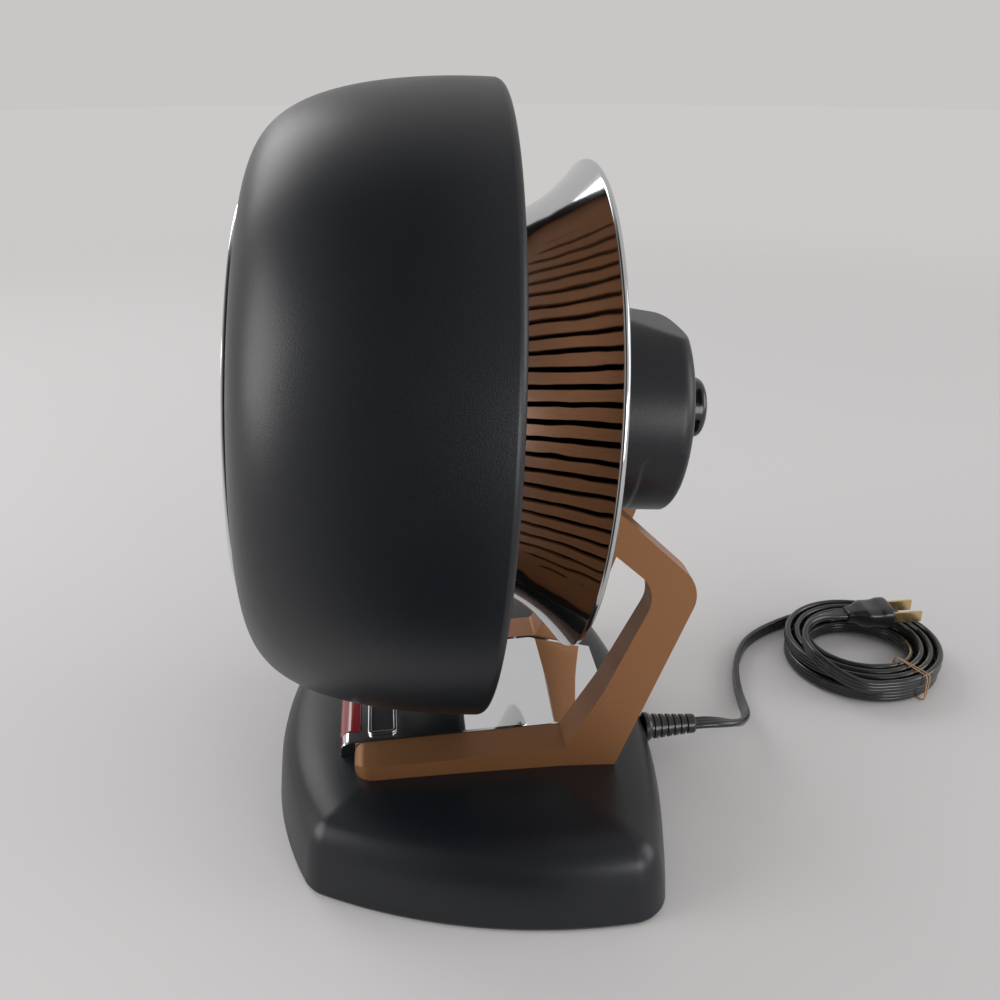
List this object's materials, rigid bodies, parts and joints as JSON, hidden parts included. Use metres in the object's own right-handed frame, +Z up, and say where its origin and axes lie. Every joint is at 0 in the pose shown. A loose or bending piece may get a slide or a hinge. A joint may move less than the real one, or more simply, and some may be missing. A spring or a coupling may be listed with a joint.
{
  "type": "electric space heater",
  "caption": "Fan heater with a deep round shell, chrome rear bell and knob, tilting between two angled arms on a low base, with a coiled flat cord and plug.",
  "frame": {"origin": "middle of the footprint of the heater without its cord, at the underside of the rubber feet", "axes": "+X to the right seen from the front, +Y rearwards from the grille to the knob, +Z up"},
  "size_m": [0.256, 0.3686, 0.3143],
  "materials": {
    "shell_black": "satin charcoal black with a fine grain",
    "trim_chrome": "mirror bright",
    "arm_copper": "satin metallic copper paint",
    "ring_copper": "satin metallic copper paint",
    "duct_metal": "plain sheet",
    "mica": "layered, matt",
    "heater_wire": "heat-darkened",
    "fan_black": "moulded",
    "steel": "turned and plated",
    "knob_black": "semi-gloss",
    "brass_part": "plain",
    "lens_red": "clear red, polished",
    "badge_grey": "brushed, bare",
    "foot_rubber": "matt",
    "floor_plate": "powder coat",
    "switch_blue": "moulded",
    "block_white": "moulded",
    "cord_black": "soft vinyl sheen",
    "band_tan": "matt"
  },
  "bodies": {
    "base": {"arm_right": "arm_copper", "arm_left": "arm_copper", "base_shell": "shell_black", "base_plate": "floor_plate", "rubber_feet": "foot_rubber", "plate_screws": "steel", "arm_screws": "steel", "deck_tray": "trim_chrome", "badge_frame": "trim_chrome", "badge_plate": "badge_grey", "power_lens": "lens_red", "lens_lamp": "block_white", "tip_switch": "switch_blue", "terminal_block": "block_white", "cord_gland": "cord_black", "cord_lead": "cord_black", "cord_coil": "cord_black", "cord_tail": "cord_black", "coil_band": "band_tan", "plug_body": "cord_black", "plug_blades": "brass_part"},
    "head": {"drum_shell": "shell_black", "front_ring": "trim_chrome", "front_grille": "trim_chrome", "grille_cap": "trim_chrome", "air_duct": "duct_metal", "element_spokes": "mica", "element_wire": "heater_wire", "thermal_cutout": "block_white", "motor_can": "steel", "rear_guard": "fan_black", "inlet_ring": "ring_copper", "rear_bell": "trim_chrome", "motor_housing": "shell_black", "rear_cap": "shell_black", "cap_screws": "steel", "rocker_frame": "knob_black", "thermostat": "brass_part", "pivot_bolts": "steel", "pivot_washers": "fan_black"},
    "fan": {"fan": "fan_black", "fan_nut": "steel", "motor_shaft": "steel"},
    "knob": {"control_knob": "knob_black"},
    "rocker": {"rocker_switch": "knob_black"}
  },
  "joints": [
    {"name": "head_tilt", "type": "hinge", "parent": "base", "child": "head", "pos_m": [0, 0.02561, 0.176], "axis": [-1, 0, 0], "range_deg": [-10, 12]},
    {"name": "fan_spin", "type": "hinge", "parent": "head", "child": "fan", "pos_m": [0, 0.00161, 0.186], "axis": [0, 0.9976, -0.0698], "continuous": true},
    {"name": "knob_turn", "type": "hinge", "parent": "head", "child": "knob", "pos_m": [0, 0.09152, 0.18152], "axis": [0, 0.9976, -0.0698], "range_deg": [-150, 150]},
    {"name": "rocker_tip", "type": "hinge", "parent": "head", "child": "rocker", "pos_m": [0, 0.07821, 0.15759], "axis": [0, 0.0698, 0.9976], "range_deg": [-8, 8]}
  ]
}
